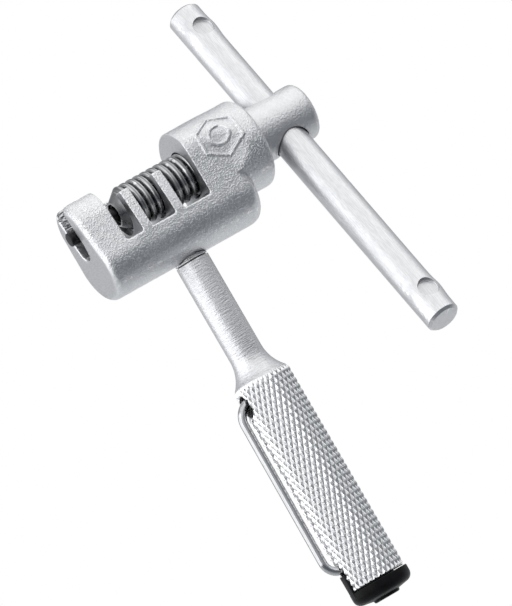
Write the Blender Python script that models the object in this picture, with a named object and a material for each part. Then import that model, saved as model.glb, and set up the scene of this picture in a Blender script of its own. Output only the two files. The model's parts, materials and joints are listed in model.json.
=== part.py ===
"""Bicycle chain tool: a cast cradle with a driving screw, a sliding tommy bar and a knurled handle.

The tool stands on the end of its handle: the origin is the middle of the end cap's lowest face and
the handle runs up along Z. The driving screw lies along X and its head points to +X.
Heights below are measured from the screw's axis, and an empty lifts every piece to that axis.
Sizes are millimetres here and become metres in the meshes.
"""
import math

import bmesh
import bpy
import numpy as np
from mathutils import Vector

MM = 0.001
GAP = 0.3                       # clearance between pieces that touch on the real tool

# Cradle casting, along X
END_FACE_X = -20.9              # outer face of the anvil wall
ANVIL_INNER_X = -13.6           # the face the chain is pushed against
END_LEAN = 0.055                # the outer face leans out towards its top: mm along X for each mm up
LEAN_PIVOT_Z = -8.0
BLOCK_FACE_X = 8.8              # where the threaded block starts
SLOT_RANGES = ((ANVIL_INNER_X, -9.3), (-7.0, -0.6), (1.7, BLOCK_FACE_X))
KEEL_END_X = 19.6               # right end of the part below the boss
BOSS_END_X = 26.3
# Cradle casting, across X
HALF_WIDTH = 8.65
KEEL_Z = -16.7
KEEL_RADIUS = 8.0
SLOT_FLOOR_Z = -6.5
TOOTH_TOP_Z = 3.7
ANVIL_TOP_RADIUS = 7.4
BLOCK_RADIUS = 10.4
BOSS_RADIUS = 10.6
BOSS_DROP = 0.35                # the boss sits slightly below the screw's axis
END_RIM = 1.6                   # fillet round the anvil wall's outer face
KEEL_RIM = 3.0
BOSS_RIM = 1.5
FLAT_END_X = 16.0               # the block's side flats run out into the round boss
ROUND_FROM_X = 22.5
PIN_SLOT_HALF = 2.43
PIN_SLOT_BOTTOM_Z = -6.1
PIN_SLOT_END_X = -11.9          # these three ends lie in the open slots
TROUGH_START_X = -11.5
TROUGH_END_X = 4.0
BORE_START_X = 4.3
SHAPE_CENTRE_Z = -4.0           # a point inside every cross-section of the casting
SHAPE_STEPS = 88

# Driving screw
THREAD_RADIUS = 5.4
THREAD_ROOT = 4.4
PITCH = 1.814                   # 14 threads to the inch
THREAD_STEPS = 22               # per turn
SCREW_TIP_X = -10.3
SCREW_TIP_RADIUS = 2.9
SCREW_TAPER_X = -7.2
SCREW_BORE = 2.6
SCREW_BORE_END_X = 3.7
THREAD_END_X = 24.6
SCREW_NECK = 4.1
HEAD_RADIUS = 6.66
HEAD_START_X = BOSS_END_X + GAP
HEAD_END_X = 41.5
HEAD_RIM = 1.5
BAR_X = 33.9                    # where the bar crosses the head

# Driver pin and its bush
PIN_RADIUS = 1.625
PIN_TIP_X = -22.6
PIN_HEAD_RADIUS = 2.3
PIN_HEAD_LENGTH = 2.2
BUSH_START_X = -9.9

# Tommy bar
BAR_RADIUS = 4.0
BAR_LENGTH = 100.0
BAR_OFFSET = 13.5               # how far the bar's middle is pushed through the head
BAR_TURN = math.radians(153.65)  # from +Z, about X
BAR_CHAMFER = 0.6
DIMPLE_FROM_END = 7.3
DIMPLE_RADIUS = 2.5
DIMPLE_DEPTH = 0.8

# Handle
NECK_RADIUS = 4.0
RING_RADIUS = 4.05
RING_TOP_Z = KEEL_Z - GAP
RING_THICKNESS = 0.7
NECK_TOP_Z = RING_TOP_Z - RING_THICKNESS - GAP
STUD_RADIUS = 3.0
STUD_TOP_Z = -10.3
FLARE_START_Z = -41.0
FLARE_RADIUS = 9.2
GRIP_START_Z = -47.7
GRIP_RADIUS = 6.93
GRIP_END_Z = -98.5
GRIP_BORE = 4.5
GRIP_BORE_TOP_Z = -48.9
HOOK_HOLE_Z = -51.5
HOOK_HOLE_RADIUS = 2.7
NOTCH_HALF = 1.5
NOTCH_TOP_Z = -91.9

# Chain hook
WIRE_RADIUS = 1.0
WIRE_STEPS = 14
HOOK_TOP_Z = -50.5
HOOK_BOTTOM_Z = -93.2
HOOK_TOP_X = -8.75
HOOK_BOTTOM_X = -9.2
HOOK_TOP_BEND = 4.4
HOOK_BOTTOM_BEND = 3.4
HOOK_LEG_END_X = -2.6

# End cap and the spare pin it carries
CAP_RADIUS = 7.2
CAP_SHIFT_X = 0.1               # the cap's flange stands out further on the side away from the hook
CAP_GAP = 0.5                   # the flange's gap below the grip
CAP_TOP_Z = GRIP_END_Z - CAP_GAP
CAP_RIM = 1.9
CAP_RIM_Z = -102.1              # the cap's underside domes down from its rim to a round boss
CAP_DOME_Z = -102.8
CAP_BOSS_RADIUS = 3.3
CAP_END_Z = -103.4
PLUG_RADIUS = GRIP_BORE - GAP
PLUG_TOP_Z = -94.8
TONGUE_TOP_Z = HOOK_BOTTOM_Z - WIRE_RADIUS - GAP
TONGUE_HALF = NOTCH_HALF - GAP
TONGUE_OUTER = 7.1              # just proud of the grip
SPARE_X = 1.9
SPARE_SOCKET = PIN_RADIUS + 0.25
SPARE_BOTTOM_Z = -97.5
SOCKET_BOTTOM_Z = SPARE_BOTTOM_Z - GAP

AXIS_HEIGHT = -CAP_END_Z        # of the screw's axis above the origin

SMOOTH_ANGLE = math.radians(32)
REACH = 60.0                    # how far a cutter runs past what it cuts
WELD = 1e-6                     # metres


def clear_scene():
    for obj in list(bpy.data.objects):
        bpy.data.objects.remove(obj, do_unlink=True)


def make_tool_frame():
    """The empty that stands where the screw's axis crosses the handle's."""
    frame = bpy.data.objects.new("tool_frame", None)
    frame.location = (0.0, 0.0, AXIS_HEIGHT * MM)
    bpy.context.scene.collection.objects.link(frame)


def make_material(name, color, roughness, metallic):
    material = bpy.data.materials.new(name)
    material.use_nodes = True
    shader = material.node_tree.nodes["Principled BSDF"]
    shader.inputs["Base Color"].default_value = (*color, 1.0)
    shader.inputs["Roughness"].default_value = roughness
    shader.inputs["Metallic"].default_value = metallic
    return material


def add_object(name, points, faces, material=None):
    """A mesh object from points in millimetres, with its faces turned outwards."""
    mesh = bpy.data.meshes.new(name)
    shape = bmesh.new()
    verts = [shape.verts.new(Vector(point) * MM) for point in points]
    for face in faces:
        shape.faces.new([verts[index] for index in face])
    bmesh.ops.remove_doubles(shape, verts=shape.verts[:], dist=WELD)
    bmesh.ops.recalc_face_normals(shape, faces=shape.faces[:])
    shape.to_mesh(mesh)
    shape.free()
    obj = bpy.data.objects.new(name, mesh)
    obj.parent = bpy.data.objects["tool_frame"]
    bpy.context.scene.collection.objects.link(obj)
    if material:
        mesh.materials.append(material)
        mesh.shade_smooth()
        mesh.set_sharp_from_angle(angle=SMOOTH_ANGLE)
    return obj


def arc(centre, radius, start, end, steps):
    """Points (r, h) on an arc, with its angles in degrees."""
    turns = [math.radians(start + (end - start) * i / steps) for i in range(steps + 1)]
    return [(centre[0] + radius * math.cos(a), centre[1] + radius * math.sin(a)) for a in turns]


def lathe(name, profile, steps, material=None, closed=False):
    """Turns a profile of (radius, height) about local Z, with flat ends or a pole at radius zero.

    A closed profile makes a ring.
    """
    points = []
    rings = []
    for radius, height in profile:
        if radius < 1e-6:
            rings.append([len(points)] * steps)
            points.append((0.0, 0.0, height))
            continue
        rings.append([len(points) + i for i in range(steps)])
        for i in range(steps):
            turn = 2 * math.pi * i / steps
            points.append((radius * math.cos(turn), radius * math.sin(turn), height))
    faces = []
    if closed:
        rings.append(rings[0])
    else:
        faces += [ring for ring in (rings[0], rings[-1]) if len(set(ring)) == steps]
    for low, high in zip(rings, rings[1:]):
        for i in range(steps):
            j = (i + 1) % steps
            corners = list(dict.fromkeys((low[i], low[j], high[j], high[i])))
            if len(corners) > 2:
                faces.append(corners)
    return add_object(name, points, faces, material)


def prism(name, outline, low, high):
    """Extrudes an (x, z) outline along Y."""
    count = len(outline)
    points = [(x, low, z) for x, z in outline] + [(x, high, z) for x, z in outline]
    sides = [(i, (i + 1) % count, count + (i + 1) % count, count + i) for i in range(count)]
    caps = [tuple(range(count)), tuple(range(2 * count - 1, count - 1, -1))]
    return add_object(name, points, sides + caps)


def block(name, low, high):
    return prism(name, [(low[0], low[2]), (high[0], low[2]), (high[0], high[2]), (low[0], high[2])],
                 low[1], high[1])


def along_x(obj):
    obj.rotation_euler = (0.0, math.pi / 2, 0.0)
    return obj


def place(obj, x=0.0, y=0.0, z=0.0):
    obj.location = Vector((x, y, z)) * MM
    return obj


def combine(obj, tool, operation):
    """Adds an exact Boolean with a guide object, which stays out of the finished model."""
    tool.hide_render = True
    tool.display_type = "WIRE"
    modifier = obj.modifiers.new(tool.name, "BOOLEAN")
    modifier.operation = operation
    modifier.solver = "EXACT"
    modifier.object = tool


def cut(obj, tool):
    combine(obj, tool, "DIFFERENCE")


def join(obj, tool):
    combine(obj, tool, "UNION")


def hull_reach(circles, turns):
    """Distance from the shape centre to the hull of some (y, z, radius) circles, for each angle."""
    facing = np.linspace(0.0, 2 * math.pi, 1440, endpoint=False)
    support = np.max([y * np.cos(facing) + (z - SHAPE_CENTRE_Z) * np.sin(facing) + radius
                      for y, z, radius in circles], axis=0)
    slope = np.cos(facing[None, :] - turns[:, None])
    reach = np.where(slope > 0.02, support[None, :] / np.maximum(slope, 0.02), np.inf)
    return reach.min(axis=1)


def anvil_reach(turns, inset):
    side = HALF_WIDTH - KEEL_RADIUS
    low = KEEL_Z + KEEL_RADIUS
    circles = [(0.0, 0.0, ANVIL_TOP_RADIUS - inset)]
    circles += [(y, low, KEEL_RADIUS - inset) for y in (-side, side)]
    return hull_reach(circles, turns)


def keel_reach(turns, inset):
    side = HALF_WIDTH - KEEL_RADIUS
    low = KEEL_Z + KEEL_RADIUS
    top = math.sqrt(BLOCK_RADIUS ** 2 - HALF_WIDTH ** 2) - inset
    circles = [(y, low, KEEL_RADIUS - inset) for y in (-side, side)]
    circles += [(y, top, 0.0) for y in (-HALF_WIDTH + inset, HALF_WIDTH - inset)]
    return hull_reach(circles, turns)


def smooth_step(value, start, end):
    t = min(max((value - start) / (end - start), 0.0), 1.0)
    return t * t * (3 - 2 * t)


def boss_reach(turns, x, inset):
    """The block's round top: between side flats at first, and a full cylinder at the boss."""
    blend = smooth_step(x, FLAT_END_X, ROUND_FROM_X)
    radius = BLOCK_RADIUS + (BOSS_RADIUS - BLOCK_RADIUS) * blend - inset
    half = HALF_WIDTH + (BOSS_RADIUS - HALF_WIDTH) * blend - inset
    disc = hull_reach([(0.0, -BOSS_DROP * blend, radius)], turns)
    flats = half / np.maximum(np.abs(np.cos(turns)), 1e-6)
    return np.minimum(disc, flats)


def rim_steps(radius, steps):
    """(distance from the end, inset) pairs round a quarter-circle fillet."""
    turns = [math.pi / 2 * i / steps for i in range(steps + 1)]
    return [(radius * (1 - math.sin(a)), radius * (1 - math.cos(a))) for a in turns[::-1]]


def casting_sections(turns):
    """(x, reach) pairs from the anvil wall's outer face to the boss's end."""
    sections = []
    for depth, inset in rim_steps(END_RIM, 5):
        sections.append((END_FACE_X + depth, anvil_reach(turns, inset)))
    sections.append((ANVIL_INNER_X + 1.5, anvil_reach(turns, 0.0)))
    keel = keel_reach(turns, 0.0)
    start = ANVIL_INNER_X + 2.5
    for x in (start, FLAT_END_X):
        sections.append((x, np.maximum(keel, boss_reach(turns, x, 0.0))))
    for depth, inset in rim_steps(KEEL_RIM, 6)[::-1]:
        x = KEEL_END_X - depth
        sections.append((x, np.maximum(keel_reach(turns, inset), boss_reach(turns, x, 0.0))))
    step = KEEL_END_X + 0.03
    straight = BOSS_END_X - BOSS_RIM
    for x in (step, 20.2, 21.4, ROUND_FROM_X):
        sections.append((x, boss_reach(turns, x, 0.0)))
    for depth, inset in rim_steps(BOSS_RIM, 5)[::-1]:
        sections.append((BOSS_END_X - depth, boss_reach(turns, straight, inset)))
    return sections


def sorted_sections(turns):
    """Sections in order along X, without two at the same place."""
    kept = []
    for x, reach in sorted(casting_sections(turns), key=lambda item: item[0]):
        if not kept or x - kept[-1][0] > 1e-3:
            kept.append((x, reach))
    return kept


def end_lean(x, z):
    """How far the outer face's lean moves a point, fading out at the anvil's inner face."""
    share = max(0.0, (ANVIL_INNER_X - x) / (ANVIL_INNER_X - END_FACE_X))
    return share * END_LEAN * (z - LEAN_PIVOT_Z)


def make_casting(material):
    corner = math.sqrt(BLOCK_RADIUS ** 2 - HALF_WIDTH ** 2) - SHAPE_CENTRE_Z
    corner_turn = math.atan2(corner, HALF_WIDTH)
    even = np.linspace(0.0, 2 * math.pi, SHAPE_STEPS, endpoint=False)
    turns = np.sort(np.append(even, (corner_turn, math.pi - corner_turn)))
    count = len(turns)
    points = []
    faces = []
    for x, reach in sorted_sections(turns):
        for turn, radius in zip(turns, reach):
            z = SHAPE_CENTRE_Z + radius * math.sin(turn)
            points.append((x - end_lean(x, z), radius * math.cos(turn), z))
    rows = len(points) // count
    for row in range(rows - 1):
        for i in range(count):
            j = (i + 1) % count
            a, b, c, d = row * count + i, row * count + j, (row + 1) * count + j, (row + 1) * count + i
            faces += [(a, b, c), (a, c, d)]
    faces.append(tuple(range(count)))
    faces.append(tuple(range((rows - 1) * count, rows * count)))
    return add_object("tool_body", points, faces, material)


def cradle_cutter():
    """Everything above the slot floors and above the teeth, as one comb-shaped prism."""
    outline = []
    for left, right in SLOT_RANGES:
        outline += [(left, TOOTH_TOP_Z), (left, SLOT_FLOOR_Z), (right, SLOT_FLOOR_Z), (right, TOOTH_TOP_Z)]
    outline[0] = (ANVIL_INNER_X, REACH)
    outline[-1] = (BLOCK_FACE_X, REACH)
    return prism("cut_cradle", outline, -REACH, REACH)


def trough(name, half, bottom_z, start_x, end_x, steps):
    """A round-bottomed slot along X, open at the top."""
    bottom = arc((0.0, bottom_z + half), half, 180, 360, steps)
    slot = prism(name, [(half, REACH), (-half, REACH)] + bottom, start_x, end_x)
    slot.rotation_euler = (0.0, 0.0, -math.pi / 2)
    return slot


def make_body(material):
    body = make_casting(material)
    cut(body, cradle_cutter())
    bore = THREAD_RADIUS + GAP
    cut(body, along_x(lathe("cut_screw_bore", [(bore, BORE_START_X), (bore, REACH)], 48)))
    cut(body, trough("cut_tooth_gap", bore, -bore, TROUGH_START_X, TROUGH_END_X, 24))
    cut(body, trough("cut_pin_slot", PIN_SLOT_HALF, PIN_SLOT_BOTTOM_Z, -REACH, PIN_SLOT_END_X, 16))
    stud_hole = STUD_RADIUS + GAP
    cut(body, lathe("cut_stud_hole", [(stud_hole, -REACH), (stud_hole, STUD_TOP_Z + GAP)], 32))
    return body


def thread_profile():
    """One pitch of the thread, as (share of the pitch, radius)."""
    return [(0.0, THREAD_ROOT), (0.16, THREAD_ROOT), (0.42, THREAD_RADIUS), (0.72, THREAD_RADIUS)]


def screw_outline(x):
    """The largest radius the thread may have at x: a blunt cone at the tip, then the full thread."""
    taper = (x - SCREW_TIP_X) / (SCREW_TAPER_X - SCREW_TIP_X)
    return SCREW_TIP_RADIUS + (THREAD_RADIUS - SCREW_TIP_RADIUS) * min(max(taper, 0.0), 1.0)


def make_thread(name, start_x, end_x, material):
    """A closed right-hand helical rod along X. Its turns flatten into plain discs at both ends."""
    profile = thread_profile()
    count = len(profile)
    first = start_x - 2 * PITCH
    turns = math.ceil((end_x - first) / PITCH) + 1
    steps = turns * THREAD_STEPS
    points = []
    for step in range(steps + THREAD_STEPS + 1):
        turn = 2 * math.pi * step / THREAD_STEPS
        for share, radius in profile:
            x = first + PITCH * (step / THREAD_STEPS + share)
            radius = min(radius, screw_outline(x)) if x < end_x else THREAD_ROOT
            x = min(max(x, start_x), end_x)
            points.append((x, radius * math.cos(turn), radius * math.sin(turn)))
    faces = []
    last = len(points) // count - 1
    for step in range(last):
        for k in range(count - 1):
            a = step * count + k
            faces.append((a, a + 1, a + 1 + count, a + count))
        if step + 1 + THREAD_STEPS <= last:
            a = step * count + count - 1
            b = (step + THREAD_STEPS) * count
            faces.append((a, b, b + count, a + count))
    low_rim = [step * count for step in range(THREAD_STEPS + 1)] + list(range(count - 1, 0, -1))
    high = [(last - THREAD_STEPS + step) * count + count - 1 for step in range(THREAD_STEPS + 1)]
    high_rim = high + [last * count + k for k in range(count - 2, -1, -1)]
    for rim, x in ((low_rim, start_x), (high_rim, end_x)):
        hub = len(points)
        points.append((x, 0.0, 0.0))
        faces += [(rim[i], rim[(i + 1) % len(rim)], hub) for i in range(len(rim))]
    return add_object(name, points, faces, material)


def make_screw(material):
    screw = make_thread("drive_screw", SCREW_TIP_X, THREAD_END_X, material)
    rim = HEAD_RADIUS - HEAD_RIM
    head = [(SCREW_NECK, THREAD_END_X - 2.0), (SCREW_NECK, HEAD_START_X)]
    head += [(HEAD_RADIUS - 0.5, HEAD_START_X), (HEAD_RADIUS, HEAD_START_X + 0.5)]
    head += arc((rim, HEAD_END_X - HEAD_RIM), HEAD_RIM, 0, 90, 5)
    join(screw, along_x(lathe("add_head", head, 48)))
    cut(screw, along_x(lathe("cut_pin_bore", [(SCREW_BORE, -REACH), (SCREW_BORE, SCREW_BORE_END_X)], 32)))
    hole = BAR_RADIUS + GAP
    cross = lathe("cut_bar_hole", [(hole, -REACH), (hole, REACH)], 40)
    cross.rotation_euler = (BAR_TURN, 0.0, 0.0)
    cut(screw, place(cross, x=BAR_X))
    return screw


def pin_profile(length):
    """A driver pin from its tip at height 0 to its head."""
    tip = [(PIN_RADIUS - 0.3, 0), (PIN_RADIUS, 0.3)]
    neck = length - PIN_HEAD_LENGTH
    head = [(PIN_RADIUS, neck), (PIN_HEAD_RADIUS, neck), (PIN_HEAD_RADIUS, length - 0.3)]
    return tip + head + [(PIN_HEAD_RADIUS - 0.3, length)]


def pin_length():
    return SCREW_BORE_END_X - GAP - PIN_TIP_X


def make_driver_pin(material):
    pin = along_x(lathe("driver_pin", pin_profile(pin_length()), 28, material))
    return place(pin, x=PIN_TIP_X)


def make_bush(material):
    inner = PIN_RADIUS + GAP
    outer = SCREW_BORE - GAP
    end = SCREW_BORE_END_X - GAP - PIN_HEAD_LENGTH - GAP
    profile = [(inner, BUSH_START_X), (outer, BUSH_START_X), (outer, end), (inner, end)]
    return along_x(lathe("pin_bush", profile, 28, material, closed=True))


def make_bar(material):
    half = BAR_LENGTH / 2
    edge = BAR_RADIUS - BAR_CHAMFER
    profile = [(edge, -half), (BAR_RADIUS, -half + BAR_CHAMFER), (BAR_RADIUS, half - BAR_CHAMFER),
               (edge, half)]
    bar = lathe("tommy_bar", profile, 36, material)
    ball = (DIMPLE_RADIUS ** 2 + DIMPLE_DEPTH ** 2) / (2 * DIMPLE_DEPTH)
    for side, name in ((-1, "cut_dimple_top"), (1, "cut_dimple_low")):
        low = -90 + math.degrees(math.asin(min(1.0, DIMPLE_RADIUS * 1.4 / ball)))
        dome = [(0, -ball)] + arc((0.0, 0.0), ball, -90, low, 5)[1:]
        dome.append((dome[-1][0], 0.0))
        dimple = lathe(name, dome, 20)
        dimple.parent = bar
        dimple.rotation_euler = (-math.pi / 2, 0.0, 0.0)
        depth = BAR_RADIUS - DIMPLE_DEPTH + ball
        place(dimple, y=depth, z=side * (half - DIMPLE_FROM_END))
        cut(bar, dimple)
    bar.rotation_euler = (BAR_TURN, 0.0, 0.0)
    along = Vector((0.0, -math.sin(BAR_TURN), math.cos(BAR_TURN))) * BAR_OFFSET
    return place(bar, BAR_X, along.y, along.z)


def flare_profile():
    """The concave sweep from the neck out to the grip."""
    centre = (NECK_RADIUS + FLARE_RADIUS, FLARE_START_Z)
    depth = FLARE_START_Z - GRIP_START_Z
    return arc(centre, FLARE_RADIUS, 180, 180 + math.degrees(math.asin(depth / FLARE_RADIUS)), 8)


def make_handle(material):
    rim = 0.4
    grip = [(GRIP_RADIUS - rim, GRIP_START_Z), (GRIP_RADIUS, GRIP_START_Z - rim)]
    grip += [(GRIP_RADIUS, GRIP_END_Z + rim), (GRIP_RADIUS - rim, GRIP_END_Z), (GRIP_BORE, GRIP_END_Z)]
    flare = [point for point in flare_profile() if point[0] < GRIP_RADIUS - rim]
    stud = [(STUD_RADIUS - 0.3, STUD_TOP_Z), (STUD_RADIUS, STUD_TOP_Z - 0.3)]
    neck = [(STUD_RADIUS, NECK_TOP_Z), (NECK_RADIUS - 0.2, NECK_TOP_Z), (NECK_RADIUS, NECK_TOP_Z - 0.2)]
    bore = [(GRIP_BORE, GRIP_BORE_TOP_Z), (0, GRIP_BORE_TOP_Z + 1.5)]
    handle = lathe("handle", stud + neck + flare + grip + bore, 48, material)
    hole = lathe("cut_hook_hole", [(HOOK_HOLE_RADIUS, -REACH), (HOOK_HOLE_RADIUS, 0)], 28)
    cut(handle, place(along_x(hole), z=HOOK_HOLE_Z))
    round_top = arc((0.0, NOTCH_TOP_Z - NOTCH_HALF), NOTCH_HALF, 0, 180, 10)
    notch = prism("cut_notch", round_top + [(-NOTCH_HALF, -120.0), (NOTCH_HALF, -120.0)], -20.0, 0.0)
    notch.rotation_euler = (0.0, 0.0, -math.pi / 2)
    cut(handle, notch)
    return handle


def make_ring(material):
    inner = STUD_RADIUS + GAP
    low = RING_TOP_Z - RING_THICKNESS
    profile = [(inner, RING_TOP_Z), (RING_RADIUS, RING_TOP_Z), (RING_RADIUS, low), (inner, low)]
    return lathe("neck_ring", profile, 36, material, closed=True)


def hook_path():
    """The wire's centre line in the XZ plane: leg, bend, long side, bend, leg."""
    upper = arc((HOOK_TOP_X + HOOK_TOP_BEND, HOOK_TOP_Z - HOOK_TOP_BEND), HOOK_TOP_BEND, 90, 180, 9)
    lower = arc((HOOK_BOTTOM_X + HOOK_BOTTOM_BEND, HOOK_BOTTOM_Z + HOOK_BOTTOM_BEND),
                HOOK_BOTTOM_BEND, 180, 270, 8)
    return [(HOOK_LEG_END_X, HOOK_TOP_Z)] + upper + lower + [(HOOK_LEG_END_X, HOOK_BOTTOM_Z)]


def make_hook(material):
    """Sweeps a round wire along the path, which stays in the XZ plane."""
    path = [Vector(point) for point in hook_path()]
    points = []
    for i, centre in enumerate(path):
        along = (path[min(i + 1, len(path) - 1)] - path[max(i - 1, 0)]).normalized()
        across = Vector((-along.y, along.x))
        for step in range(WIRE_STEPS):
            turn = 2 * math.pi * step / WIRE_STEPS
            middle = centre + across * (WIRE_RADIUS * math.cos(turn))
            points.append((middle.x, WIRE_RADIUS * math.sin(turn), middle.y))
    faces = [tuple(range(WIRE_STEPS)), tuple(range(len(points) - WIRE_STEPS, len(points)))]
    for row in range(len(path) - 1):
        for step in range(WIRE_STEPS):
            a = row * WIRE_STEPS + step
            b = row * WIRE_STEPS + (step + 1) % WIRE_STEPS
            faces.append((a, b, b + WIRE_STEPS, a + WIRE_STEPS))
    return add_object("chain_hook", points, faces, material)


def make_cap(material):
    rim_centre = (CAP_RADIUS - CAP_RIM, CAP_RIM_Z + CAP_RIM)
    flange = [(CAP_RADIUS - 0.2, CAP_TOP_Z), (CAP_RADIUS, CAP_TOP_Z - 0.2)]
    flange += arc(rim_centre, CAP_RIM, 0, -85, 5) + [(CAP_BOSS_RADIUS, CAP_DOME_Z)]
    flange += [(CAP_BOSS_RADIUS, CAP_END_Z + 0.2), (CAP_BOSS_RADIUS - 0.2, CAP_END_Z)]
    cap = place(lathe("end_cap", flange, 48, material), x=CAP_SHIFT_X)
    inside_z = CAP_TOP_Z - 1.0
    plug = [(PLUG_RADIUS - 0.4, PLUG_TOP_Z), (PLUG_RADIUS, PLUG_TOP_Z - 0.4), (PLUG_RADIUS, inside_z)]
    join(cap, lathe("add_plug", plug, 40))
    join(cap, block("add_tongue", (-TONGUE_OUTER, -TONGUE_HALF, inside_z),
                    (-PLUG_RADIUS + 0.4, TONGUE_HALF, TONGUE_TOP_Z)))
    socket = lathe("cut_spare_socket", [(SPARE_SOCKET, SOCKET_BOTTOM_Z), (SPARE_SOCKET, 0.0)], 24)
    cut(cap, place(socket, x=SPARE_X))
    return cap


def make_spare_pin(material):
    spare = lathe("spare_pin", pin_profile(pin_length()), 24, material)
    return place(spare, x=SPARE_X, z=SPARE_BOTTOM_Z)


def build():
    clear_scene()
    make_tool_frame()
    cast = make_material("cast_nickel", (0.62, 0.62, 0.63), 0.42, 1.0)
    turned = make_material("turned_steel", (0.66, 0.66, 0.67), 0.3, 1.0)
    dark = make_material("dark_steel", (0.36, 0.37, 0.38), 0.34, 1.0)
    black = make_material("black_oxide", (0.04, 0.04, 0.045), 0.4, 0.8)
    wire = make_material("bright_wire", (0.74, 0.74, 0.75), 0.16, 1.0)
    plastic = make_material("black_plastic", (0.02, 0.02, 0.022), 0.38, 0.0)
    make_body(cast)
    make_ring(turned)
    make_handle(turned)
    make_screw(dark)
    make_bush(black)
    make_driver_pin(black)
    make_bar(turned)
    make_hook(wire)
    make_cap(plastic)
    make_spare_pin(black)


build()
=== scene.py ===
"""Looks of the chain tool: a pebbled nickel casting, a turned and knurled handle, a steel screw and bar.

Pieces are built in millimetres. Heights are measured from the screw's axis, as in the CAD, and each
piece takes its place from the frame's joints and boxes. A turned piece is built about its own local Z.
"""
import json
import math

import bmesh
import bpy
import numpy as np
from mathutils import Matrix, Quaternion, Vector, noise


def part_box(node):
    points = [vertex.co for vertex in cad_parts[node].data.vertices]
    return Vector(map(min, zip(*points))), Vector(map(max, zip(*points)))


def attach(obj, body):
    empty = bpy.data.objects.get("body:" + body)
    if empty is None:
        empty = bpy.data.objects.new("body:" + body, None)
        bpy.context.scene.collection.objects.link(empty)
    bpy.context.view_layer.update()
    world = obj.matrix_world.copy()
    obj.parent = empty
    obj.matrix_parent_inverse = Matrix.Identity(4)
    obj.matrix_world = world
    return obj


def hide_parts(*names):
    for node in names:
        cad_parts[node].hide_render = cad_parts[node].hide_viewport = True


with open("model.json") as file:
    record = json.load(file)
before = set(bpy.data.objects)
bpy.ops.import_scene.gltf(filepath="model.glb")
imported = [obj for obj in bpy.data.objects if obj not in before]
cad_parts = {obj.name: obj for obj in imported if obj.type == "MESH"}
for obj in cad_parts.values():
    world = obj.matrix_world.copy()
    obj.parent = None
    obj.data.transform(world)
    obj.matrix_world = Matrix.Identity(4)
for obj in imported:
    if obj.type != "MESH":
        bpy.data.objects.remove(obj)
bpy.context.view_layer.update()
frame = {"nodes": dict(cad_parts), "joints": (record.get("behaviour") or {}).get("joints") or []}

MM = 0.001
GAP = 0.3                       # clearance between pieces, as in the CAD
TINY = 1e-3                     # tolerance where two lengths are compared
SMOOTH_ANGLE = math.radians(32)

JOINTS = {joint["name"]: joint for joint in frame["joints"]}
CROSSING = Vector(JOINTS["screw_turn"]["pos_m"]) / MM    # where the bar crosses the screw's axis
TOOL_ORIGIN = Vector((0.0, 0.0, CROSSING.z))             # where the screw's axis crosses the handle's
BAR_AXIS = Vector(JOINTS["bar_slide"]["axis"])


def box(node):
    """A CAD node's lowest and highest corners in millimetres from the tool's origin."""
    return [corner / MM - TOOL_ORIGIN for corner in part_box(node)]


BODY_LOW, BODY_HIGH = box("tool_body")
SCREW_LOW, SCREW_HIGH = box("drive_screw")
PIN_LOW, PIN_HIGH = box("driver_pin")
BUSH_LOW, BUSH_HIGH = box("pin_bush")
HANDLE_LOW, HANDLE_HIGH = box("handle")
HOOK_LOW, HOOK_HIGH = box("chain_hook")
CAP_LOW, _ = box("end_cap")
SPARE_LOW, SPARE_HIGH = box("spare_pin")
BAR_LOW, BAR_HIGH = box("tommy_bar")

# Casting
VOXEL = 0.27                    # mesh size of the remeshed casting
SOFTEN_PASSES = 2               # rounds the casting's edges
MACHINED_FACING = (0.80, 0.94)  # |normal.x| over which a face turns from cast to machined
BORE_WALL = (6.3, 6.6)          # distance from the screw's axis over which the bore turns into cast skin
PEBBLES = ((1.6, 0.02), (0.9, 0.025))      # (size, height) of the two layers of cast skin
PEBBLE_BUMP = 0.078
SMOOTH_SKIN_Z = (-11.0, 0.0)    # the skin is smoother low on the keel than it is round the screw
PIN_SLOT_HALF = 2.43
PIN_SLOT_END_X = -13.7
PIN_SLOT_LOW_Z = -3.0
PIN_SLOT_WALL = 0.35            # how far from the slot's side its broached skin reaches
BROACH_PITCH = 0.3
BROACH_DEPTH = 0.16
BROACH_STRETCH = 3              # the tool's marks are longer along X
ANVIL_FACE_X = -13.6            # the anvil's inner face
BLOCK_FACE_X = 8.8              # the threaded block's left face
SLOT_FLOOR_Z = -6.5
SLOT_SHADE_REACH = 4.5          # how far out from the thread the slots' walls carry painted shade
TOOTH_TOP_Z = 3.7
RIBS_START_X = -10.0            # in the open slot before the first rib
RIBS_END_X = 2.4                # in the open slot after the last rib
RIB_LEAN = 1.6                  # how far a rib's outer face leans in at its top
RIB_CURVE = 1.5                 # over 1, the lean grows towards the top
BODY_HALF = 8.65                # half of the body's width at its side flats
BLOCK_RADIUS = 10.4             # of the block's round top
BLOCK_BLEND = 1.5               # how softly the block's top meets its side flats
BLOCK_FLAT_ENDS = (16.0, 22.5)  # along X, where the side flats run out into the boss
EMBLEM_X = 17.2
EMBLEM_ARC = 4.1                # along the block's round side, from the screw's height
EMBLEM_HALF = 4.6               # from the middle to the flats
EMBLEM_HOLE = 2.3
EMBLEM_HEIGHT = 0.32
EMBLEM_FLOOR = 0.16             # depth of the sunk field inside the outline
EMBLEM_RIM = 0.34               # half width of its lines
EMBLEM_DRAFT = 0.14             # how far a line's side slopes, each way
FIELD_DRAFT = 0.2               # and the sunk field's side
NEAR_SIDE = (-4.0, -6.0)        # the emblem's side of the block lies in front of this y and above this z

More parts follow.
